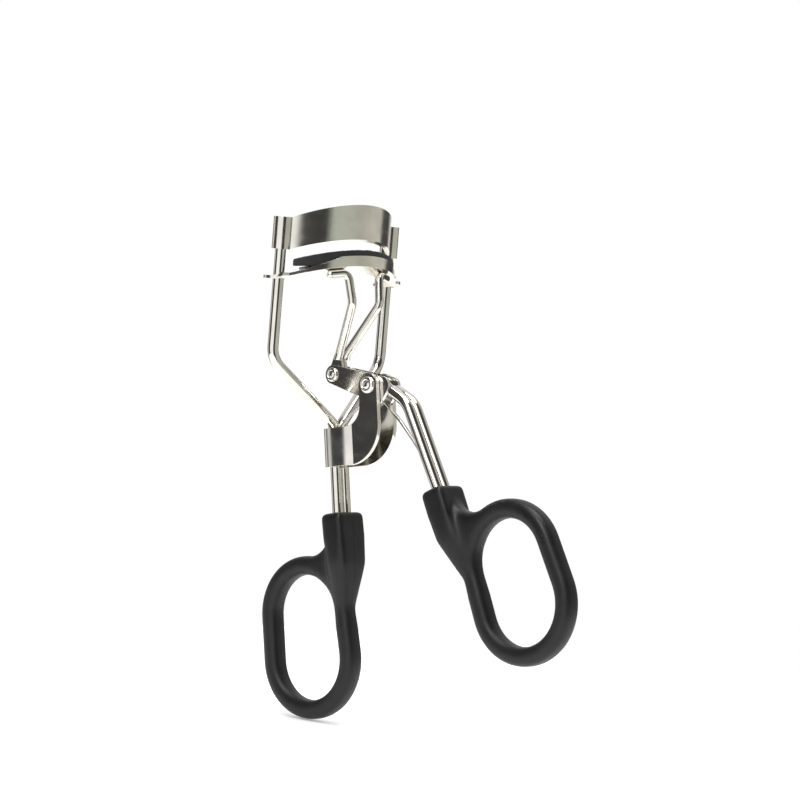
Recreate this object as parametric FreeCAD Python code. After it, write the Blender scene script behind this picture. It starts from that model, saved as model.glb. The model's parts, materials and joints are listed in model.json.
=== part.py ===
import FreeCAD
import Part
import math
import os

# Eyelash curler. Two bent wires carry a fixed upper jaw, and a lever lifts a padded lower jaw up them.
#
# +Z runs up the posts, X runs from post to post, and -Y is the front, where the jaws bulge and the
# moving handle swings. The origin lies midway between the posts, just under the upper jaw.
# All lengths are in millimetres and all angles in degrees.

V = FreeCAD.Vector

# Frame wires
WIRE_R = 1.1                 # radius of the frame and handle wires
POST_X = 16.0                # half the distance between the posts
POST_TOP = 7.4
KNEE_Z = -20.3               # where the posts turn in towards the bracket
KNEE_BEND = 5.0
STEM_X = 1.13                # half the distance between the two wires of a stem
STEM_TOP = V(0, -4.3, -32.6)
STEM_LEAN = 9.7              # the fixed stem leans forward from the posts
STEM_BEND = 2.6
STEM_LENGTH = 17.7           # from STEM_TOP to the grip
STEM_BURIED = 10.0           # length of stem inside a grip

# Upper jaw, a bent strip whose ends are rolled round the posts
ARC_Y = 11.35                # the jaws' arcs are centred on X 0 and this Y
BAND_OUT = 19.3
SHEET = 0.9
BAND_BOTTOM = 1.3
BAND_HEIGHT = 6.35           # at the posts
TOP_RISE = 0.53              # the strip's top edge rises faster than the rest
JAW_RISE = 0.45              # the jaws rise by this much for each millimetre forward
JAW_FLAT_Y = -1.0            # and are level behind this line
LAP_DEG = 4.5                # the rolled ends lap back over the strip by this much
LAP_THICK = 0.55
SLEEVE_WALL = 0.72

# Lower jaw
PAD_IN, PAD_OUT = 18.2, 20.35
WALL = 0.5
FLOOR = 0.6
TROUGH_HALF_DEG = 43.0
PAD_HALF_DEG = 47.0
WALL_TOP = 2.1               # from the floor's underside
TAPER_FROM = (7.0, 5.3)      # the walls run out along a line between these points,
TAPER_TO = (14.0, 2.1)       # in X and in Z from the floor's underside at the posts
LIFT_FROM = (7.0, 3.5)       # past the walls the pad's underside follows this line instead
LIFT_TO = (15.0, 2.7)
PAD_TOP = 3.5                # from the floor's underside
JAW_GAP = 2.4                # pad to upper jaw at rest
EYE_OUT = 2.75               # the eyes slide on the posts
EYE_HOLE = 1.35
EYE_PLAY = 0.6               # the eyes' holes are longer than they are wide
STRAP_HALF = 1.75

# Push rods
ROD_R = 0.85
ROD_FOOT = V(8.2, -6.75, -2.89)
ROD_TOP = V(4.6, -8.0, -2.33)
ROD_KNEE = V(4.0, -9.3, -8.2)
ROD_LOW = V(1.05, -4.3, -18.4)
ROD_EYE_IN, ROD_EYE_OUT = 0.06, 0.8     # faces of the flattened ends
ROD_EYE_R = 2.0
ROD_FLAT = 3.0                          # the rods are flattened this far above the link

# Lever and rivets
FULCRUM = V(0, -13.8, -24.0)
LEVER_ARM = 10.4             # fulcrum to link
LEVER_TILT = 6.75            # the arm rises towards the posts at rest
LEVER_IN, LEVER_OUT = 1.15, 1.8
LEVER_END_R = 1.9
TAIL = V(0, -2.95, 0.15)     # from the fulcrum to the rivet that holds the handle wires
TAIL_R = 1.75
HEEL = V(0, -2.1, -2.5)      # the lever's lower corner
HEEL_R = 1.2
PIN_R = 0.9
PIN_CLEAR = 0.06
HEAD_R = 1.7
HEAD_THICK = 0.6
LINK_R = 0.8
LINK_HEAD_R = 1.45
LINK_CLEAR = 0.1
LINK_SLOT_FRONT = 0.66       # travel of the link in the rods' eyes
LINK_SLOT_BACK = 0.12
TAIL_RIVET_R = 0.6
TONGUE_IN = 0.1              # inner face of a handle wire's flattened end
TONGUE_R = 1.0

# Bracket, with n forward from the stem's axis and u up along it
COLLAR_LOW, COLLAR_HIGH = -8.6, -0.9
COLLAR_IN = 2.27
COLLAR_BULGE = 0.55          # the collar's sides swell by this much
CREASE_N = 6.2               # before they crease into the flat ears here
EAR_IN = 1.92
BRACKET_SHEET = 0.9
EAR_R = 2.35
EAR_CORNER = 8.0
EAR_FILLET = 4.0

# Moving handle
HANDLE_BEND = V(0, -23.0, -26.7)
HANDLE_BEND_R = 6.0
HANDLE_NECK = V(0, -32.6, -42.7)
MOVING_GRIP_LEAN = 27.6
FIXED_GRIP_LEAN = 13.0
WIRE_START = 2.4             # round wire begins this far from the tail rivet

# Torsion spring
SPRING_R = 0.35
COIL_R = 1.4
COIL_HALF = 0.74             # half the coil's advance
FRAME_LEG = (V(0, -8.2, -30.4), V(0, -6.1, -32.8))
HANDLE_LEG = (V(0, -20.2, -30.6), V(0, -23.8, -33.9), V(0, -28.0, -38.25))

# Grips, with s down along the neck and w outward from its axis
NECK_HALF_X = 3.9
NECK_HALF = 2.65             # half the neck's depth, in w
NECK_EDGE = 1.0
SHOULDER_S = 10.0            # the neck narrows from here
NECK_END_S = 18.0            # and is as thin as the loop here
LOOP_HALF = 2.2              # half the loop's thickness, in X
LOOP_W = 11.3
LOOP_TOP_S, LOOP_TOP_R = 19.1, 7.9
LOOP_LOW_S, LOOP_LOW_R = 28.0, 8.3
LOOP_WALL = 3.8
CROTCH_R = 5.5
LOOP_EDGE = 1.6


def down(lean):
    """Unit vector down a line that leans forward from the posts."""
    a = math.radians(lean)
    return V(0, -math.sin(a), -math.cos(a))


def forward(lean):
    """Unit vector square to that line, towards the front."""
    a = math.radians(lean)
    return V(0, -math.cos(a), math.sin(a))


def mirrored(shape):
    return shape.mirror(V(0, 0, 0), V(1, 0, 0))


def at_x(point, x):
    return V(x, point.y, point.z)


def link_point():
    a = math.radians(LEVER_TILT)
    return FULCRUM + V(0, LEVER_ARM * math.cos(a), LEVER_ARM * math.sin(a))


def bent_path(points, radii):
    """Straight runs through the points, with a tangent arc of each radius at the inner points."""
    edges = []
    start = points[0]
    for before, corner, after, radius in zip(points, points[1:], points[2:], radii):
        a = (before - corner).normalize()
        b = (after - corner).normalize()
        half = a.getAngle(b) / 2
        cut = radius / math.tan(half)
        first = corner + a * cut
        last = corner + b * cut
        middle = corner + (a + b).normalize() * (radius / math.sin(half) - radius)
        edges.append(Part.LineSegment(start, first).toShape())
        edges.append(Part.Arc(first, middle, last).toShape())
        start = last
    edges.append(Part.LineSegment(start, points[-1]).toShape())
    return Part.Wire(edges)


def swept(path, radius):
    """A round bar of that radius along the path."""
    first = path.OrderedEdges[0]
    tangent = first.tangentAt(first.FirstParameter)
    ring = Part.Wire(Part.makeCircle(radius, path.OrderedVertexes[0].Point, tangent))
    return path.makePipeShell([ring], True, True)


def along_x(point, radius, x_from, x_to):
    return Part.makeCylinder(radius, x_to - x_from, at_x(point, x_from), V(1, 0, 0))


def hull_plate(circles, x_from, x_to):
    """A plate whose outline is a belt round the circles, given as (centre, radius) in order about +X."""
    count = len(circles)
    starts = []
    ends = []
    for i in range(count):
        (c1, r1), (c2, r2) = circles[i], circles[(i + 1) % count]
        step = c2 - c1
        heading = math.atan2(step.z, step.y)
        tilt = math.asin((r1 - r2) / step.Length)
        angle = heading - math.pi / 2 + tilt
        starts.append(angle)
        ends.append(angle)
    edges = []
    previous = None
    for i in range(count):
        centre, radius = circles[i]
        a_in = ends[i - 1]
        a_out = starts[i]
        span = (a_out - a_in) % (2 * math.pi)
        points = []
        for a in (a_in, a_in + span / 2, a_in + span):
            points.append(V(x_from, centre.y + radius * math.cos(a), centre.z + radius * math.sin(a)))
        if previous is not None:
            edges.append(Part.LineSegment(previous, points[0]).toShape())
        edges.append(Part.Arc(*points).toShape())
        previous = points[2]
    edges.append(Part.LineSegment(previous, edges[0].Vertexes[0].Point).toShape())
    return Part.Face(Part.Wire(Part.__sortEdges__(edges))).extrude(V(x_to - x_from, 0, 0))


def sector(r_in, r_out, half_deg, z_low, z_high):
    """A slab of ring about the jaws' centre, reaching half_deg each side of the front."""
    span = math.radians(half_deg)
    arcs = []
    for r in (r_in, r_out):
        left = V(-r * math.sin(span), ARC_Y - r * math.cos(span), z_low)
        right = V(r * math.sin(span), ARC_Y - r * math.cos(span), z_low)
        arcs.append((left, V(0, ARC_Y - r, z_low), right))
    inner, outer = arcs
    edges = [
        Part.Arc(*outer).toShape(),
        Part.LineSegment(outer[2], inner[2]).toShape(),
        Part.Arc(inner[2], inner[1], inner[0]).toShape(),
        Part.LineSegment(inner[0], outer[0]).toShape(),
    ]
    return Part.Face(Part.Wire(edges)).extrude(V(0, 0, z_high - z_low))


def rising_slab(z_low, z_high, top_rise=JAW_RISE):
    """The space between two surfaces, level at the posts and rising towards the front."""
    reach, wide = 40.0, 30.0
    profile = [
        V(-wide, reach, z_low),
        V(-wide, JAW_FLAT_Y, z_low),
        V(-wide, JAW_FLAT_Y - reach, z_low + JAW_RISE * reach),
        V(-wide, JAW_FLAT_Y - reach, z_high + top_rise * reach),
        V(-wide, JAW_FLAT_Y, z_high),
        V(-wide, reach, z_high),
    ]
    return Part.Face(Part.makePolygon(profile + profile[:1])).extrude(V(2 * wide, 0, 0))


def rising_sector(r_in, r_out, half_deg, z_low, z_high, top_rise=JAW_RISE):
    slab = rising_slab(z_low, z_high, top_rise)
    return sector(r_in, r_out, half_deg, z_low - 1, z_high + 20).common(slab)


def frame_wire():
    """Right-hand frame wire: post, knee, slant, stem and the end inside the fixed grip."""
    stem = at_x(STEM_TOP, STEM_X)
    end = stem + down(STEM_LEAN) * (STEM_LENGTH + STEM_BURIED)
    top = V(POST_X, 0, POST_TOP - WIRE_R)
    path = bent_path([top, V(POST_X, 0, KNEE_Z), stem, end], [KNEE_BEND, STEM_BEND])
    return swept(path, WIRE_R).fuse(Part.makeSphere(WIRE_R, top)).removeSplitter()


def upper_jaw():
    """The strip, the two sleeves rolled from its ends, and the laps where the sheet comes back."""
    post_deg = math.degrees(math.asin(POST_X / (BAND_OUT - SHEET / 2)))
    top = BAND_BOTTOM + BAND_HEIGHT
    body = rising_sector(BAND_OUT - SHEET, BAND_OUT, post_deg, BAND_BOTTOM, top, TOP_RISE)
    lap = rising_sector(BAND_OUT - 0.2, BAND_OUT + LAP_THICK, post_deg, BAND_BOTTOM, top, TOP_RISE)
    body = body.fuse(lap.cut(sector(10, 30, post_deg - LAP_DEG, -20, 40)))
    for side in (-1, 1):
        base = V(side * POST_X, 0, BAND_BOTTOM)
        body = body.fuse(Part.makeCylinder(WIRE_R + SLEEVE_WALL, BAND_HEIGHT, base))
    for side in (-1, 1):
        base = V(side * POST_X, 0, BAND_BOTTOM - 5)
        body = body.cut(Part.makeCylinder(WIRE_R, 30, base))
    return body.removeSplitter()


def jaw_base():
    """Height of the underside of the trough's floor beside the posts."""
    return BAND_BOTTOM - JAW_GAP - PAD_TOP


def pad_trough():
    """Curved channel that holds the pad, with a strap and a loose eye at each end."""
    base = jaw_base()
    body = rising_sector(PAD_IN - WALL, PAD_OUT + WALL, TROUGH_HALF_DEG, base, base + WALL_TOP)
    body = body.cut(rising_sector(PAD_IN, PAD_OUT, TROUGH_HALF_DEG + 3, base + FLOOR, base + 9))
    body = body.cut(end_blocks(TAPER_FROM, TAPER_TO, 15))
    strap = eye_strap()
    return body.fuse([strap, mirrored(strap)]).removeSplitter()


def end_blocks(start, finish, far):
    """Left and right blocks between the sloping line from start to finish and the level far."""
    base = jaw_base()
    reach = finish[0] + 10
    corners = [start, finish, (reach, finish[1]), (reach, far), (start[0], far)]
    profile = [V(x, -30, base + z) for x, z in corners]
    block = Part.Face(Part.makePolygon(profile + profile[:1])).extrude(V(0, 60, 0))
    return [block, mirrored(block)]


def eye_strap():
    """Right-hand strap from the trough's end to the post, with an eye longer than it is wide."""
    base = jaw_base()
    mid = (PAD_IN + PAD_OUT) / 2
    a = math.radians(TROUGH_HALF_DEG - 4)
    root = V(mid * math.sin(a), ARC_Y - mid * math.cos(a), base - 2)
    eye = V(POST_X + EYE_PLAY / 2, 0, base - 2)
    along = (eye - root).normalize()
    side = V(-along.y, along.x, 0) * STRAP_HALF
    outline = Part.makePolygon([root + side, root - side, eye - side, eye + side, root + side])
    body = Part.Face(outline).extrude(V(0, 0, 12)).fuse(Part.makeCylinder(EYE_OUT, 12, eye))
    body = body.common(rising_slab(base, base + FLOOR))
    hole = Part.makeBox(EYE_PLAY, 2 * EYE_HOLE, 12, V(POST_X, -EYE_HOLE, base - 3))
    for shift in (0, EYE_PLAY):
        hole = hole.fuse(Part.makeCylinder(EYE_HOLE, 12, V(POST_X + shift, 0, base - 3)))
    return body.cut(hole)


def rubber_pad():
    """The pad, which fills the trough and stands clear of its floor past the walls."""
    base = jaw_base()
    body = rising_sector(PAD_IN, PAD_OUT, PAD_HALF_DEG, base + FLOOR, base + PAD_TOP)
    return body.cut(end_blocks(LIFT_FROM, LIFT_TO, -4))


def push_rod():
    """Right-hand push rod: a foot under the trough, two knees, and a flat end slotted for the link."""
    link = link_point()
    end = at_x(link, ROD_LOW.x) + V(0, 0, 1.0)
    path = bent_path([ROD_FOOT, ROD_TOP, ROD_KNEE, ROD_LOW, end], [1.5, 2.5, 2.5])
    bar = swept(path, ROD_R)
    bar = bar.fuse(Part.makeSphere(ROD_R, ROD_FOOT))
    flat_top = link.z + ROD_FLAT
    bar = bar.cut(Part.makeBox(8, 12, 8, V(-4, link.y - 6, flat_top - 8)))
    neck = V(0, link.y, flat_top + 0.6)
    eye = hull_plate([(link, ROD_EYE_R), (neck, ROD_R)], ROD_EYE_IN, ROD_EYE_OUT)
    body = bar.fuse(eye)
    slot_r = LINK_R + LINK_CLEAR
    front = V(0, link.y - LINK_SLOT_FRONT, link.z)
    back = V(0, link.y + LINK_SLOT_BACK, link.z)
    return body.cut(hull_plate([(front, slot_r), (back, slot_r)], -1, 4)).removeSplitter()


def lever_plate():
    """Right-hand lever plate, from the link past the fulcrum to the rivet that holds the handle."""
    tail = FULCRUM + TAIL
    corners = [(FULCRUM + HEEL, HEEL_R), (link_point(), LEVER_END_R), (tail, TAIL_R)]
    body = hull_plate(corners, LEVER_IN, LEVER_OUT)
    body = body.cut(along_x(FULCRUM, PIN_R + PIN_CLEAR, 0, 3))
    body = body.cut(along_x(link_point(), LINK_R, 0, 3))
    return body.cut(along_x(tail, TAIL_RIVET_R, 0, 3))


def handle_wire():
    """Right-hand handle wire, pressed flat where it lies inside the lever plates."""
    tail = FULCRUM + TAIL
    ahead = (HANDLE_BEND - tail).normalize()
    start = at_x(tail + ahead * WIRE_START, STEM_X)
    down_stem = (HANDLE_NECK - HANDLE_BEND).normalize()
    end = HANDLE_NECK + down_stem * STEM_BURIED
    path = bent_path([start, at_x(HANDLE_BEND, STEM_X), at_x(end, STEM_X)], [HANDLE_BEND_R])
    tongue_end = tail + ahead * (WIRE_START + 1.4)
    tongue = hull_plate([(tail, TONGUE_R), (tongue_end, TONGUE_R)], TONGUE_IN, LEVER_IN)
    body = swept(path, WIRE_R).fuse(tongue)
    return body.cut(along_x(tail, TAIL_RIVET_R, 0, 3)).removeSplitter()


def domed_head(point, radius, x, way):
    """Low domed rivet head standing on the plane at x."""
    rise = HEAD_THICK
    ball = (radius * radius + rise * rise) / (2 * rise)
    cap = Part.makeSphere(ball, at_x(point, x + way * (rise - ball)))
    edge = x + way * rise
    return cap.common(along_x(point, radius + 1, min(x, edge), max(x, edge)))


def headed_rivet(point, shank_r, head_r, x):
    """Rivet through everything between -x and x, with a head at each end."""
    body = along_x(point, shank_r, -x, x)
    return body.fuse([domed_head(point, head_r, -x, -1), domed_head(point, head_r, x, 1)]).removeSplitter()


def fulcrum_rivet():
    return headed_rivet(FULCRUM, PIN_R, HEAD_R, EAR_IN + BRACKET_SHEET)


def link_rivet():
    return headed_rivet(link_point(), LINK_R, LINK_HEAD_R, LEVER_OUT)


def handle_rivet():
    return along_x(FULCRUM + TAIL, TAIL_RIVET_R, -LEVER_OUT, LEVER_OUT)


def in_bracket(n, u, x):
    """The point n forward of the stem's axis and u up it from STEM_TOP."""
    return STEM_TOP + forward(STEM_LEAN) * n - down(STEM_LEAN) * u + V(x, 0, 0)


def fulcrum_bracket():
    """Sheet wrapped round the back of the stem, stepping in to two ears that hold the fulcrum."""
    rel = FULCRUM - STEM_TOP
    ear_n = rel.dot(forward(STEM_LEAN))
    ear_u = -rel.dot(down(STEM_LEAN))
    front = ear_n + EAR_R
    back = ear_n - EAR_R
    side = -COLLAR_IN - BRACKET_SHEET
    diag = math.sqrt(0.5)

    def p(n, u):
        return in_bracket(n, u, side - 1)

    edges = [
        Part.LineSegment(p(-4, COLLAR_LOW), p(front - EAR_CORNER, COLLAR_LOW)).toShape(),
        Part.Arc(
            p(front - EAR_CORNER, COLLAR_LOW),
            p(front - EAR_CORNER * (1 - diag), COLLAR_LOW + EAR_CORNER * (1 - diag)),
            p(front, COLLAR_LOW + EAR_CORNER),
        ).toShape(),
        Part.LineSegment(p(front, COLLAR_LOW + EAR_CORNER), p(front, ear_u)).toShape(),
        Part.Arc(p(front, ear_u), p(ear_n, ear_u + EAR_R), p(back, ear_u)).toShape(),
        Part.LineSegment(p(back, ear_u), p(back, COLLAR_HIGH + EAR_FILLET)).toShape(),
        Part.Arc(
            p(back, COLLAR_HIGH + EAR_FILLET),
            p(back - EAR_FILLET * (1 - diag), COLLAR_HIGH + EAR_FILLET * (1 - diag)),
            p(back - EAR_FILLET, COLLAR_HIGH),
        ).toShape(),
        Part.LineSegment(p(back - EAR_FILLET, COLLAR_HIGH), p(-4, COLLAR_HIGH)).toShape(),
        Part.LineSegment(p(-4, COLLAR_HIGH), p(-4, COLLAR_LOW)).toShape(),
    ]
    outline = Part.Face(Part.Wire(edges)).extrude(V(-2 * side + 2, 0, 0))
    fold = folded_sheet(COLLAR_LOW - 1, ear_u + EAR_R + 1, front + 1)
    return fold.common(outline).cut(along_x(FULCRUM, PIN_R, -5, 5)).removeSplitter()


def folded_sheet(u_low, u_high, n_end):
    """The bracket's folded section, drawn out along the stem."""
    slim = BRACKET_SHEET
    wrap = COLLAR_IN - STEM_X
    swell = (COLLAR_IN + EAR_IN) / 2 + COLLAR_BULGE
    diag = math.sqrt(0.5)

    def p(x, n):
        return in_bracket(n, u_low, x)

    edges = []
    for side in (1, -1):
        tips = [p(side * EAR_IN, n_end), p(side * (EAR_IN + slim), n_end)]
        edges.append(Part.LineSegment(*tips).toShape())
    for r, skin in ((wrap, 0), (wrap + slim, slim)):
        for side in (1, -1):
            crease = p(side * (EAR_IN + skin), CREASE_N)
            edges.append(Part.LineSegment(p(side * (EAR_IN + skin), n_end), crease).toShape())
            belly = p(side * (swell + skin), CREASE_N / 2)
            edges.append(Part.Arc(crease, belly, p(side * (STEM_X + r), 0)).toShape())
            knuckle = p(side * (STEM_X + r * diag), -r * diag)
            edges.append(Part.Arc(p(side * (STEM_X + r), 0), knuckle, p(side * STEM_X, -r)).toShape())
        edges.append(Part.LineSegment(p(STEM_X, -r), p(-STEM_X, -r)).toShape())
    face = Part.Face(Part.Wire(Part.__sortEdges__(edges)))
    return face.extrude(down(STEM_LEAN) * (u_low - u_high))


def tangent_angle(target, way):
    """Where a straight leg to target meets the coil, for a coil wound that way about +X."""
    rel = target - FULCRUM
    reach = math.hypot(rel.y, rel.z)
    return math.atan2(rel.z, rel.y) - way * math.acos(COIL_R / reach)


def spring_leg(points):
    """Straight runs of spring wire, rounded at every point."""
    pieces = []
    for a, b in zip(points, points[1:]):
        pieces.append(Part.makeCylinder(SPRING_R, (b - a).Length, a, b - a))
    for point in points:
        pieces.append(Part.makeSphere(SPRING_R, point))
    return pieces[0].fuse(pieces[1:])


def torsion_spring():
    """Coil round the fulcrum rivet with one leg to the stem's wires and one to the handle's."""
    first = tangent_angle(FRAME_LEG[0], 1)
    last = tangent_angle(HANDLE_LEG[0], -1)
    while last > first - 2 * math.pi:
        last -= 2 * math.pi
    turns = []
    steps = 36
    for i in range(steps + 1):
        angle = first + (last - first) * i / steps
        x = COIL_HALF * (2 * i / steps - 1)
        turns.append(FULCRUM + V(x, COIL_R * math.cos(angle), COIL_R * math.sin(angle)))
    curve = Part.BSplineCurve()
    curve.interpolate(turns)
    coil = swept(Part.Wire([curve.toShape()]), SPRING_R)
    frame_leg = spring_leg([turns[0]] + [at_x(p, -COIL_HALF) for p in FRAME_LEG])
    handle_leg = spring_leg([turns[-1]] + [at_x(p, COIL_HALF) for p in HANDLE_LEG])
    return coil.fuse([frame_leg, handle_leg]).removeSplitter()


def grip_point(place, s, w, x=0.0):
    """A point in a grip's own directions; place is the neck's top, the run down it and the way out."""
    neck, run, out = place
    return V(x, 0, 0) + neck + run * s + out * w


def grip_plate(place, outline, half):
    """A plate square to X whose outline is given in (s, w)."""
    wire = Part.makePolygon([grip_point(place, s, w, -half) for s, w in outline + outline[:1]])
    return Part.Face(wire).extrude(V(2 * half, 0, 0))


def loop_side():
    """How far out from the neck's axis the loop's near side lies."""
    return LOOP_W - LOOP_TOP_R - LOOP_WALL


def grip_neck(place):
    """Square neck with rounded edges, thinning to the loop's thickness at its lower end."""
    share = (NECK_END_S - SHOULDER_S) / (LOOP_TOP_S - SHOULDER_S)
    inner = -NECK_HALF + (loop_side() + NECK_HALF) * share
    outline = [(0, -NECK_HALF), (0, NECK_HALF), (NECK_END_S, NECK_HALF)]
    outline += [(NECK_END_S, inner), (SHOULDER_S, -NECK_HALF)]
    widths = [(0, -NECK_HALF_X), (SHOULDER_S, -NECK_HALF_X), (NECK_END_S, -LOOP_HALF)]
    widths += [(s, -x) for s, x in reversed(widths)]
    wire = Part.makePolygon([grip_point(place, s, -10, x) for s, x in widths + widths[:1]])
    body = grip_plate(place, outline, NECK_HALF_X).common(Part.Face(wire).extrude(place[2] * 20))
    far = grip_point(place, NECK_END_S, 0)
    edges = [e for e in body.Edges if (e.CenterOfMass - far).dot(place[1]) < -0.1]
    return body.makeFillet(NECK_EDGE, edges)


def finger_loop(place):
    """Oval loop with rounded rims and the web that joins it to the neck."""
    circles = [(LOOP_TOP_S, LOOP_TOP_R), (LOOP_LOW_S, LOOP_LOW_R)]
    hole = [(grip_point(place, s, LOOP_W), r) for s, r in circles]
    rim = [(centre, r + LOOP_WALL) for centre, r in hole]
    web = [(-9, -NECK_HALF), (-9, NECK_HALF), (LOOP_TOP_S - 4, NECK_HALF)]
    web += [(LOOP_TOP_S, loop_side()), (SHOULDER_S, -NECK_HALF)]
    body = grip_plate(place, web, LOOP_HALF).fuse(hull_plate(rim, -LOOP_HALF, LOOP_HALF)).removeSplitter()
    crotch_s = LOOP_TOP_S - math.sqrt((LOOP_TOP_R + LOOP_WALL) ** 2 - (LOOP_W - NECK_HALF) ** 2)
    crotch = grip_point(place, crotch_s, NECK_HALF)
    across = [e for e in body.Edges if e.BoundBox.XLength > 2 * LOOP_HALF - 0.1]
    nearest = min(across, key=lambda e: at_x(e.Vertexes[0].Point, 0).distanceToPoint(crotch))
    body = body.makeFillet(CROTCH_R, [nearest])
    body = body.cut(hull_plate(hole, -LOOP_HALF, LOOP_HALF))
    flat = [e for e in body.Edges if e.BoundBox.XLength < 0.01]
    rims = [e for e in flat if (e.CenterOfMass - place[0]).dot(place[1]) > -8]
    body = body.makeFillet(LOOP_EDGE, rims)
    return body.cut(grip_plate(place, [(-10, -9), (-10, 9), (NECK_EDGE, 9), (NECK_EDGE, -9)], 9))


def grip(neck, lean, outward):
    """Square neck over the stem's wires, running into an oval finger loop on its outward side."""
    place = (neck, down(lean), forward(lean) * outward)
    return finger_loop(place).fuse(grip_neck(place)).removeSplitter()


def fixed_grip(wires):
    return grip(STEM_TOP + down(STEM_LEAN) * STEM_LENGTH, FIXED_GRIP_LEAN, -1).cut(wires)


def moving_grip(wires):
    return grip(HANDLE_NECK, MOVING_GRIP_LEAN, 1).cut(wires)


def main():
    frame = frame_wire()
    handle = handle_wire()
    lever = lever_plate()
    rod = push_rod()
    nodes = {
        "right_frame_wire": frame,
        "left_frame_wire": mirrored(frame),
        "upper_jaw": upper_jaw(),
        "fulcrum_bracket": fulcrum_bracket(),
        "fulcrum_rivet": fulcrum_rivet(),
        "fixed_grip": fixed_grip([frame, mirrored(frame)]),
        "torsion_spring": torsion_spring(),
        "right_handle_wire": handle,
        "left_handle_wire": mirrored(handle),
        "right_lever_plate": lever,
        "left_lever_plate": mirrored(lever),
        "handle_rivet": handle_rivet(),
        "link_rivet": link_rivet(),
        "moving_grip": moving_grip([handle, mirrored(handle)]),
        "pad_trough": pad_trough(),
        "rubber_pad": rubber_pad(),
        "right_push_rod": rod,
        "left_push_rod": mirrored(rod),
    }
    os.makedirs("parts", exist_ok=True)
    for name, shape in nodes.items():
        shape.exportStep("parts/" + name + ".step")
        print(name, shape.isValid(), len(shape.Solids), round(shape.Volume, 1))


main()
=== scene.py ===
import bmesh
import bpy
import json
import math
from mathutils import Matrix, Vector


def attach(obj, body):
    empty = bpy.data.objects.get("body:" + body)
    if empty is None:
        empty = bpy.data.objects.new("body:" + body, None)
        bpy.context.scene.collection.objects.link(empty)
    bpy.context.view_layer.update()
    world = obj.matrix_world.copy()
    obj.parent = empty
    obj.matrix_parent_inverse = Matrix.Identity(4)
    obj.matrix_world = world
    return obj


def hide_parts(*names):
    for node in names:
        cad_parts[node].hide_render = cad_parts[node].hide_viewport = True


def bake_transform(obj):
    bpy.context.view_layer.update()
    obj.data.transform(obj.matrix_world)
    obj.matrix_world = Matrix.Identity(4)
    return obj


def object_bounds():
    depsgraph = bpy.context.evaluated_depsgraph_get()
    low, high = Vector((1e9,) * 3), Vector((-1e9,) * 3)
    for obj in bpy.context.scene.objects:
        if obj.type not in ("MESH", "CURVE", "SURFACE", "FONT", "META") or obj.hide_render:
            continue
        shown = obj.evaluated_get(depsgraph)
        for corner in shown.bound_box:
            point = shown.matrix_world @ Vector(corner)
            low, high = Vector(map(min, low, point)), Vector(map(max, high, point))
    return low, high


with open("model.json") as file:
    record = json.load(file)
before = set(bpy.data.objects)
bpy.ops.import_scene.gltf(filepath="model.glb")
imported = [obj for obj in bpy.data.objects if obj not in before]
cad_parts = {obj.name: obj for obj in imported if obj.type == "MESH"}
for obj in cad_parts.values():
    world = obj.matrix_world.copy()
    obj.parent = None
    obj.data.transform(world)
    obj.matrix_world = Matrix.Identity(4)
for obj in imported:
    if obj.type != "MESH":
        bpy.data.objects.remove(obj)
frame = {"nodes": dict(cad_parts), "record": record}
cad_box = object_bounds()
MM = 0.001

# Places and sizes of the mechanism in mm, the same figures as the CAD source's
FULCRUM = Vector((0, -13.8, -24.0))
LINK = Vector((0, -3.47, -22.78))
EAR_FACE = 2.82              # outer face of the bracket's ears
LEVER_FACE = 1.8             # outer face of the lever plates
HEAD_THICK = 0.6
FULCRUM_HEAD, FULCRUM_SHANK = 1.7, 0.9
LINK_HEAD, LINK_SHANK = 1.45, 0.8
FIXED_NECK, FIXED_GRIP_LEAN = Vector((0, -7.28, -50.05)), 13.0
MOVING_NECK, MOVING_GRIP_LEAN = Vector((0, -32.6, -42.7)), 27.6

# Remeshed skins: voxel size in mm, and rounds of smoothing
GRIP_VOXEL, GRIP_ROUNDS = 0.28, 22
PAD_VOXEL, PAD_ROUNDS = 0.13, 14

# Where a grip's neck is smoothed into its loop, in mm down the neck from its top and away from its axis.
# Each pair is where the smoothing is nothing and where it is full.
WEB_UPPER = (5, 9)
WEB_LOWER = (23, 19)
WEB_SIDE = (5.5, 3.5)
WEB_ROUNDS = 90


# ---------------------------------------------------------------- materials

def new_material(name):
    """A material with its node tree, its shader and the object's own coordinates."""
    mat = bpy.data.materials.new(name)
    mat.use_nodes = True
    tree = mat.node_tree
    shader = tree.nodes["Principled BSDF"]
    place = tree.nodes.new("ShaderNodeTexCoord")
    return mat, tree, shader, place.outputs["Object"]


def noise(tree, where, scale, detail=4.0, stretch=None):
    """Smooth noise from 0 to 1; stretch scales X, Y and Z, so a small figure draws it out along that axis."""
    node = tree.nodes.new("ShaderNodeTexNoise")
    node.inputs["Scale"].default_value = scale
    node.inputs["Detail"].default_value = detail
    if stretch:
        mapping = tree.nodes.new("ShaderNodeMapping")
        mapping.inputs["Scale"].default_value = stretch
        tree.links.new(where, mapping.inputs["Vector"])
        where = mapping.outputs["Vector"]
    tree.links.new(where, node.inputs["Vector"])
    return node.outputs["Fac"]


def ramp(tree, value, stops):
    """Colour from a value through stops of (position, colour), in rising order."""
    node = tree.nodes.new("ShaderNodeValToRGB")
    first, last = node.color_ramp.elements
    first.position = stops[0][0]
    first.color = (*stops[0][1], 1)
    last.position = stops[-1][0]
    last.color = (*stops[-1][1], 1)
    for at, colour in stops[1:-1]:
        node.color_ramp.elements.new(at).color = (*colour, 1)
    tree.links.new(value, node.inputs["Fac"])
    return node.outputs["Color"]


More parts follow.
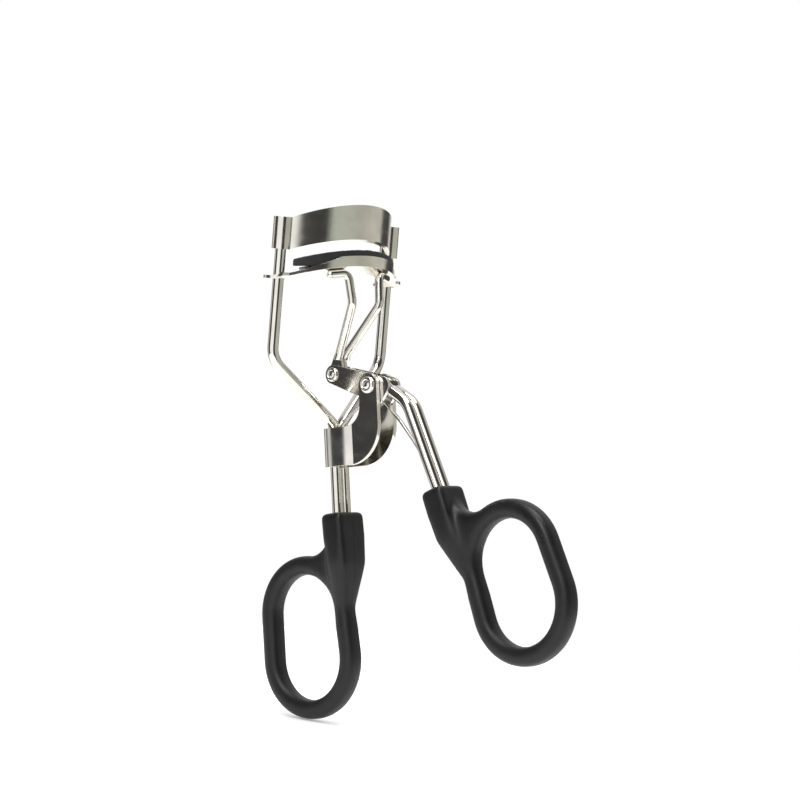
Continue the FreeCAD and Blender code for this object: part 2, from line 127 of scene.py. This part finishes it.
def spread(tree, value, low, high, at=(0.3, 0.7)):
    """Maps the value from the range at to low and high, and holds it at them outside that range."""
    node = tree.nodes.new("ShaderNodeMapRange")
    node.inputs["From Min"].default_value = at[0]
    node.inputs["From Max"].default_value = at[1]
    node.inputs["To Min"].default_value = low
    node.inputs["To Max"].default_value = high
    tree.links.new(value, node.inputs["Value"])
    return node.outputs["Result"]


def bump(tree, shader, heights):
    """Adds height fields as (value, distance in mm) to the shader's normal."""
    last = None
    for value, distance in heights:
        node = tree.nodes.new("ShaderNodeBump")
        node.inputs["Strength"].default_value = 1.0
        node.inputs["Distance"].default_value = distance * MM
        tree.links.new(value, node.inputs["Height"])
        if last is not None:
            tree.links.new(last, node.inputs["Normal"])
        last = node.outputs["Normal"]
    tree.links.new(last, shader.inputs["Normal"])


def plated_steel(name, tint, rough, stretch, wave):
    """Bright plated steel: faint haze, fine drawn lines, and ripples wave mm high left by forming."""
    mat, tree, shader, where = new_material(name)
    shader.inputs["Metallic"].default_value = 1.0
    haze = noise(tree, where, 220, 5)
    dark = tuple(c * 0.86 for c in tint)
    tree.links.new(ramp(tree, haze, [(0.35, dark), (0.62, tint)]), shader.inputs["Base Color"])
    lines = noise(tree, where, 520, 2, stretch)
    tree.links.new(spread(tree, lines, rough * 0.75, rough * 1.6), shader.inputs["Roughness"])
    ripples = noise(tree, where, 120, 1)
    bump(tree, shader, [(ripples, wave), (lines, 0.0004)])
    return mat


def black_plastic(name):
    """Soft-touch black plastic: fine moulded grain, slow sheen changes and a few rubbed patches."""
    mat, tree, shader, where = new_material(name)
    mottled = noise(tree, where, 260, 5)
    colour = ramp(tree, mottled, [(0.3, (0.0035, 0.0035, 0.004)), (0.7, (0.008, 0.008, 0.0095))])
    tree.links.new(colour, shader.inputs["Base Color"])
    rubbed = noise(tree, where, 90, 3)
    tree.links.new(spread(tree, rubbed, 0.38, 0.5), shader.inputs["Roughness"])
    grain = noise(tree, where, 5200, 2)
    bump(tree, shader, [(mottled, 0.012), (grain, 0.008), (parting_line(tree, where), 0.09)])
    shader.inputs["Specular IOR Level"].default_value = 0.36
    return mat


def parting_line(tree, where):
    """Height of the thin raised line that the two halves of the mould leave round the loops, at X 0."""
    split = tree.nodes.new("ShaderNodeSeparateXYZ")
    tree.links.new(where, split.inputs["Vector"])
    off = tree.nodes.new("ShaderNodeMath")
    off.operation = "ABSOLUTE"
    tree.links.new(split.outputs["X"], off.inputs[0])
    return spread(tree, off.outputs["Value"], 1.0, 0.0, (0.05 * MM, 0.16 * MM))


def black_rubber(name):
    """Matt black rubber with a fine grain."""
    mat, tree, shader, where = new_material(name)
    mottled = noise(tree, where, 700, 4)
    colour = ramp(tree, mottled, [(0.3, (0.005, 0.005, 0.0055)), (0.7, (0.011, 0.011, 0.012))])
    tree.links.new(colour, shader.inputs["Base Color"])
    tree.links.new(spread(tree, mottled, 0.48, 0.68), shader.inputs["Roughness"])
    grain = noise(tree, where, 4200, 3)
    bump(tree, shader, [(grain, 0.015)])
    shader.inputs["Sheen Weight"].default_value = 0.06
    return mat


WIRE_NICKEL = (0.80, 0.775, 0.715)
JAW_NICKEL = (0.80, 0.775, 0.71)
SHEET_NICKEL = (0.78, 0.76, 0.71)
RIVET_NICKEL = (0.80, 0.77, 0.73)
SPRING_STEEL = (0.66, 0.65, 0.62)
FINISH = {
    "frame_wire": plated_steel("frame_wire_nickel", WIRE_NICKEL, 0.09, (1, 1, 0.06), 0.006),
    "jaw_sheet": plated_steel("jaw_sheet_nickel", JAW_NICKEL, 0.12, (0.08, 0.3, 1), 0.002),
    "bracket_sheet": plated_steel("bracket_sheet_nickel", SHEET_NICKEL, 0.13, (1, 0.4, 1), 0.006),
    "rivets": plated_steel("rivet_nickel", RIVET_NICKEL, 0.12, (1, 1, 1), 0.004),
    "lever_sheet": plated_steel("lever_sheet_nickel", SHEET_NICKEL, 0.13, (1, 0.3, 1), 0.003),
    "handle_wire": plated_steel("handle_wire_nickel", WIRE_NICKEL, 0.09, (1, 0.2, 0.1), 0.006),
    "rod_wire": plated_steel("rod_wire_nickel", WIRE_NICKEL, 0.10, (1, 1, 0.08), 0.006),
    "spring_wire": plated_steel("spring_steel", SPRING_STEEL, 0.2, (1, 0.2, 0.2), 0.004),
    "grip_plastic": black_plastic("grip_black_plastic"),
    "pad_rubber": black_rubber("pad_black_rubber"),
}

for entry in frame["record"]["subparts"]:
    node = frame["nodes"][entry["node"]]
    node.data.materials.clear()
    node.data.materials.append(FINISH[entry["material_slot"]])


# ---------------------------------------------------------------- pieces

def copy_of(node, name):
    """A new mesh piece with the node's solid as its starting shape."""
    source = frame["nodes"][node]
    mesh = source.data.copy()
    mesh.transform(source.matrix_world)
    return new_piece(mesh, name)


def new_piece(mesh, name):
    """The mesh as an object in the scene."""
    mesh.name = name
    piece = bpy.data.objects.new(name, mesh)
    bpy.context.scene.collection.objects.link(piece)
    return piece


def apply_modifiers(piece):
    """Bakes the piece's modifiers into its mesh."""
    depsgraph = bpy.context.evaluated_depsgraph_get()
    done = bpy.data.meshes.new_from_object(piece.evaluated_get(depsgraph))
    piece.modifiers.clear()
    piece.data = done


def stand_for(piece, node):
    """The piece takes the node's place and moves with its body."""
    bodies = frame["record"]["behaviour"]["bodies"]
    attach(piece, [body for body, nodes in bodies.items() if node in nodes][0])
    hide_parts(node)


def softened(node, name, voxel, rounds, slot, web=None):
    """The node's solid remade as one skin with its edges and inside corners rounded over. web, as
    (neck, lean), is where a grip's neck flows into its loop, which is smoothed further."""
    piece = copy_of(node, name)
    skin = piece.modifiers.new("skin", "REMESH")
    skin.mode = "VOXEL"
    skin.voxel_size = voxel * MM
    skin.adaptivity = 0
    skin.use_smooth_shade = True
    smooth = piece.modifiers.new("smooth", "SMOOTH")
    smooth.factor = 0.5
    smooth.iterations = rounds
    apply_modifiers(piece)
    if web:
        flow_together(piece, *web)
    finish(piece, slot)
    stand_for(piece, node)
    return piece


def fade(value, nothing, full):
    """0 where the value is at nothing, 1 where it is at full, and in proportion between them."""
    return min(1, max(0, (value - nothing) / (full - nothing)))


def flow_together(piece, neck, lean):
    """Smooths the neck's lower part, fading out towards its top and out along the loop."""
    angle = math.radians(lean)
    run = Vector((0, -math.sin(angle), -math.cos(angle)))
    across = Vector((0, -math.cos(angle), math.sin(angle)))
    group = piece.vertex_groups.new(name="web")
    for vertex in piece.data.vertices:
        offset = vertex.co / MM - neck
        along, aside = offset.dot(run), abs(offset.dot(across))
        weight = fade(along, *WEB_UPPER) * fade(along, *WEB_LOWER) * fade(aside, *WEB_SIDE)
        if weight > 0:
            group.add([vertex.index], weight, "REPLACE")
    smooth = piece.modifiers.new("web", "SMOOTH")
    smooth.factor = 0.5
    smooth.iterations = WEB_ROUNDS
    smooth.vertex_group = group.name
    apply_modifiers(piece)


def finish(piece, slot):
    """Gives the piece the slot's material."""
    piece.data.materials.clear()
    piece.data.materials.append(FINISH[slot])


def lathe(name, centre, profile, slot, steps=64):
    """A turned shape about the X line through centre; the profile is (x, radius) in mm."""
    build = bmesh.new()
    rings = []
    for x, radius in profile:
        ring = []
        for k in range(steps):
            angle = 2 * math.pi * k / steps
            spot = Vector((x, centre.y + radius * math.cos(angle), centre.z + radius * math.sin(angle)))
            ring.append(build.verts.new(spot * MM))
        rings.append(ring)
    for one, two in zip(rings, rings[1:]):
        for k in range(steps):
            face = build.faces.new((one[k], one[k - 1], two[k - 1], two[k]))
            face.smooth = True
    build.faces.new(rings[0])
    build.faces.new(reversed(rings[-1]))
    bmesh.ops.recalc_face_normals(build, faces=build.faces)
    mesh = bpy.data.meshes.new(name)
    build.to_mesh(mesh)
    build.free()
    piece = new_piece(mesh, name)
    finish(piece, slot)
    return piece


def rivet_profile(face, head, thick, shank):
    """Half of a rivet from the middle out: shank, then a rounded head with a turned ring in it."""
    return [
        (0, shank),
        (face, shank),
        (face, head * 0.94),
        (face + thick * 0.12, head),
        (face + thick * 0.35, head * 0.985),
        (face + thick * 0.62, head * 0.90),
        (face + thick * 0.80, head * 0.78),
        (face + thick * 0.88, head * 0.66),
        (face + thick * 0.84, head * 0.60),
        (face + thick * 0.66, head * 0.56),
        (face + thick * 0.62, head * 0.50),
        (face + thick * 0.70, head * 0.44),
        (face + thick * 0.88, head * 0.34),
        (face + thick * 0.95, head * 0.18),
        (face + thick * 0.97, head * 0.03),
    ]


def rivet(name, node, centre, face, head, shank):
    """A turned rivet in the node's place, with its two heads on the faces at plus and minus face."""
    half = rivet_profile(face, head, HEAD_THICK, shank)
    profile = [(-x, r) for x, r in reversed(half[1:])] + half[1:]
    stand_for(lathe(name, centre, profile, "rivets"), node)


def grip_skin(node, name, neck, lean):
    """A grip as one smooth skin, smoothed further where its neck flows into its loop."""
    softened(node, name, GRIP_VOXEL, GRIP_ROUNDS, "grip_plastic", (neck, lean))


grip_skin("fixed_grip", "fixed_grip_skin", FIXED_NECK, FIXED_GRIP_LEAN)
grip_skin("moving_grip", "moving_grip_skin", MOVING_NECK, MOVING_GRIP_LEAN)
pad = softened("rubber_pad", "rubber_pad_skin", PAD_VOXEL, PAD_ROUNDS, "pad_rubber")

rivet("fulcrum_rivet_turned", "fulcrum_rivet", FULCRUM, EAR_FACE, FULCRUM_HEAD, FULCRUM_SHANK)
rivet("link_rivet_turned", "link_rivet", LINK, LEVER_FACE, LINK_HEAD, LINK_SHANK)

spring = copy_of("torsion_spring", "torsion_spring_wound")
for face in spring.data.polygons:
    face.use_smooth = True
finish(spring, "spring_wire")
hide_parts("torsion_spring")
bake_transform(spring)

# Width in mm of the rounding on the edges of each stamped or flattened piece
ROUNDED = {
    "upper_jaw": 0.14,
    "pad_trough": 0.10,
    "fulcrum_bracket": 0.16,
    "left_lever_plate": 0.10,
    "right_lever_plate": 0.10,
    "left_push_rod": 0.08,
    "right_push_rod": 0.08,
}


def round_edges(piece, width):
    """Joins each flat face's triangles into one face, then rounds the edges between faces."""
    weld = piece.modifiers.new("weld", "WELD")
    weld.merge_threshold = 0.002 * MM
    planes = piece.modifiers.new("planes", "DECIMATE")
    planes.decimate_type = "DISSOLVE"
    planes.angle_limit = math.radians(0.5)
    bevel = piece.modifiers.new("bevel", "BEVEL")
    bevel.width = width * MM
    bevel.segments = 3
    bevel.limit_method = "ANGLE"
    bevel.angle_limit = math.radians(38)
    even = piece.modifiers.new("even", "WEIGHTED_NORMAL")
    even.keep_sharp = True


for node, width in ROUNDED.items():
    round_edges(frame["nodes"][node], width)


# ---------------------------------------------------------------- camera and light

AZIMUTH, ELEVATION, ROLL = -49.0, 2.0, 4.6
VIEW_WIDTH = 160 * MM        # what the picture's width takes in at the object
DISTANCE = 0.7
AIM_RIGHT, AIM_DOWN = 13.05, 28.0       # mm from the origin to the picture's middle
SENSOR = 36


def towards(azimuth, elevation):
    """Direction from the object; azimuth 0 is its front, -Y, and plus turns towards +X."""
    az, el = math.radians(azimuth), math.radians(elevation)
    return Vector((math.sin(az) * math.cos(el), -math.cos(az) * math.cos(el), math.sin(el)))


def place_camera(back):
    """Camera on the line back from the object, rolled as the object leans in the picture."""
    heading = math.radians(AZIMUTH)
    right = Vector((math.cos(heading), math.sin(heading), 0))
    up = back.cross(right)
    roll = math.radians(ROLL)
    cam_right = right * math.cos(roll) + up * math.sin(roll)
    cam_up = up * math.cos(roll) - right * math.sin(roll)
    aim = cam_right * AIM_RIGHT * MM - cam_up * AIM_DOWN * MM
    camera = bpy.data.objects.new("camera", bpy.data.cameras.new("camera"))
    bpy.context.scene.collection.objects.link(camera)
    camera.data.sensor_width = SENSOR
    camera.data.lens = SENSOR * DISTANCE / VIEW_WIDTH
    turn = Matrix((cam_right, cam_up, back)).transposed().to_4x4()
    camera.matrix_world = Matrix.Translation(aim + back * DISTANCE) @ turn
    camera.data.clip_start = 0.01
    camera.data.clip_end = 20
    bpy.context.scene.camera = camera


view_back = towards(AZIMUTH, ELEVATION)
place_camera(view_back)

LIT_MIDDLE = Vector((0, -20, -40)) * MM


def area_light(name, azimuth, elevation, distance, size, power, colour=(1, 1, 1)):
    """Soft box aimed at the middle of the object."""
    data = bpy.data.lights.new(name, "AREA")
    data.shape = "RECTANGLE"
    data.size, data.size_y = size
    data.energy = power
    data.color = colour
    lamp = bpy.data.objects.new(name, data)
    bpy.context.scene.collection.objects.link(lamp)
    way = towards(azimuth, elevation)
    lamp.location = LIT_MIDDLE + way * distance
    lamp.rotation_mode = "QUATERNION"
    lamp.rotation_quaternion = way.to_track_quat("Z", "Y")
    return lamp


area_light("key", -75, 42, 0.55, (0.16, 0.30), 1.5, (1.0, 0.99, 0.97))
area_light("top", -40, 84, 0.6, (0.4, 0.2), 2.0)
side = area_light("side", 38, 20, 0.6, (0.3, 0.4), 0.8, (0.98, 0.99, 1.0))
side.visible_glossy = False
rim = area_light("rim", 150, 30, 0.7, (0.3, 0.5), 1.0)
rim.visible_glossy = False


# ---------------------------------------------------------------- studio and floor

FLOOR_RADIUS = 200 * MM
FLOOR_Y = -30 * MM           # its middle
FLOOR_GAP = 0.2 * MM         # below the object
BEIGE = (1.0, 0.98, 0.90)
GREEN = (0.93, 1.0, 0.88)


def scalar(tree, operation, *values):
    """A maths node on numbers or other nodes' outputs."""
    node = tree.nodes.new("ShaderNodeMath")
    node.operation = operation
    for socket, value in zip(node.inputs, values):
        if isinstance(value, (int, float)):
            socket.default_value = value
        else:
            tree.links.new(value, socket)
    return node.outputs["Value"]


def grey(value, tint=(1, 1, 1)):
    """Colour of the given brightness, plain grey unless tinted."""
    return tuple(value * c for c in tint)


def turns(degrees):
    """Ramp position of a direction; 0 points at the camera and plus is to the picture's right."""
    return 0.5 + degrees / 360


# What stands round the object as (degrees, colour): a plain white room, with strips of shade and pale
# green-grey panels at its sides and in front, which the plated parts mirror.
LEVEL_RING = [
    (-180, grey(1.0)),
    (-166, grey(1.0)),
    (-161, grey(0.10)),
    (-138, grey(0.07)),
    (-132, grey(0.62, BEIGE)),
    (-108, grey(0.80)),
    (-101, grey(0.07)),
    (-64, grey(0.05)),
    (-56, grey(1.12)),
    (2, grey(1.15)),
    (10, grey(0.07)),
    (40, grey(0.05)),
    (48, grey(0.55, GREEN)),
    (92, grey(0.52, BEIGE)),
    (124, grey(0.66, BEIGE)),
    (131, grey(0.08)),
    (150, grey(0.05)),
    (158, grey(0.5, BEIGE)),
    (166, grey(1.0)),
    (180, grey(1.0)),
]
# The same further up
HIGH_RING = [
    (-180, grey(1.0)),
    (-130, grey(0.6)),
    (-110, grey(0.12)),
    (-40, grey(0.05)),
    (-20, grey(1.1)),
    (4, grey(1.0)),
    (20, grey(0.05)),
    (78, grey(0.04)),
    (96, grey(0.42, BEIGE)),
    (140, grey(0.7)),
    (180, grey(1.0)),
]
HIGH_FROM, HIGH_FULL = 0.22, 0.38       # sine of the elevation where the higher ring fades in


def ring_colour(tree, share, ring):
    return ramp(tree, share, [(turns(at), colour) for at, colour in ring])


def mirrored_room(tree, back):
    """Colour of the room in each direction, turned so that the rings' 0 is at the camera."""
    around = tree.nodes.new("ShaderNodeTexCoord")
    split = tree.nodes.new("ShaderNodeSeparateXYZ")
    tree.links.new(around.outputs["Generated"], split.inputs["Vector"])
    heading = scalar(tree, "ARCTAN2", split.outputs["Y"], split.outputs["X"])
    turned = scalar(tree, "SUBTRACT", heading, math.atan2(back.y, back.x))
    share = scalar(tree, "FRACT", scalar(tree, "ADD", scalar(tree, "DIVIDE", turned, 2 * math.pi), 1.5))
    mix = tree.nodes.new("ShaderNodeMix")
    mix.data_type = "RGBA"
    colour_in = [socket for socket in mix.inputs if socket.type == "RGBA"]
    colour_out = [socket for socket in mix.outputs if socket.type == "RGBA"]
    raised = spread(tree, split.outputs["Z"], 0.0, 1.0, (HIGH_FROM, HIGH_FULL))
    tree.links.new(raised, mix.inputs[0])
    tree.links.new(ring_colour(tree, share, LEVEL_RING), colour_in[0])
    tree.links.new(ring_colour(tree, share, HIGH_RING), colour_in[1])
    return colour_out[0]


def make_studio(back):
    """World that the metal mirrors as the room, and that is plain white behind the object."""
    world = bpy.data.worlds.new("studio")
    world.use_nodes = True
    bpy.context.scene.world = world
    tree = world.node_tree
    room = tree.nodes["Background"]
    room.inputs["Strength"].default_value = 1.0
    tree.links.new(mirrored_room(tree, back), room.inputs["Color"])
    plain = tree.nodes.new("ShaderNodeBackground")
    plain.inputs["Color"].default_value = (1, 1, 1, 1)
    straight = tree.nodes.new("ShaderNodeLightPath")
    seen = tree.nodes.new("ShaderNodeMixShader")
    tree.links.new(straight.outputs["Is Camera Ray"], seen.inputs["Fac"])
    tree.links.new(room.outputs["Background"], seen.inputs[1])
    tree.links.new(plain.outputs["Background"], seen.inputs[2])
    tree.links.new(seen.outputs["Shader"], tree.nodes["World Output"].inputs["Surface"])
    bpy.context.scene.view_settings.view_transform = "Standard"


def pale_floor_material():
    mat, tree, shader, where = new_material("floor_pale")
    faint = noise(tree, where, 8, 2)
    colour = ramp(tree, faint, [(0.3, grey(0.93)), (0.7, grey(0.96))])
    tree.links.new(colour, shader.inputs["Base Color"])
    shader.inputs["Roughness"].default_value = 0.7
    shader.inputs["Emission Color"].default_value = (1, 1, 1, 1)
    shader.inputs["Emission Strength"].default_value = 0.25
    return mat


def make_floor():
    """Round floor just under the lowest point of the object."""
    mesh = bpy.data.meshes.new("floor")
    build = bmesh.new()
    bmesh.ops.create_circle(build, cap_ends=True, segments=96, radius=FLOOR_RADIUS)
    build.to_mesh(mesh)
    build.free()
    mesh.materials.append(pale_floor_material())
    floor = bpy.data.objects.new("floor", mesh)
    floor.location = (0, FLOOR_Y, cad_box[0].z - FLOOR_GAP)
    bpy.context.scene.collection.objects.link(floor)


make_studio(view_back)
make_floor()
